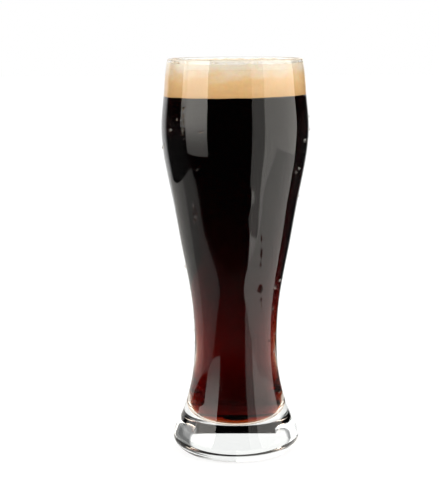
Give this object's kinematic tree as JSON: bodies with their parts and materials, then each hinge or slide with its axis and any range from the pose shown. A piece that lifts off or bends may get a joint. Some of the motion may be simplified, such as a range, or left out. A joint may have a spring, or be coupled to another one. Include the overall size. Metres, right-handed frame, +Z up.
{
  "type": "pint of stout",
  "caption": "Tall curved beer glass with a heavy clear foot and a narrow waist, filled with dark stout under a tan head of foam.",
  "frame": {"origin": "middle of the foot, on the surface that the glass stands on", "axes": "+Z up along the glass's axis of revolution, +X and +Y across it"},
  "size_m": [0.083, 0.083, 0.225],
  "materials": {
    "clear_glass": "clear polished soda-lime glass",
    "stout": "near black liquid, dark ruby where it is thin",
    "foam": "fine tan foam, matt and moist"
  },
  "bodies": {
    "root": {"glass": "clear_glass", "stout": "stout", "foam_head": "foam"}
  },
  "joints": []
}
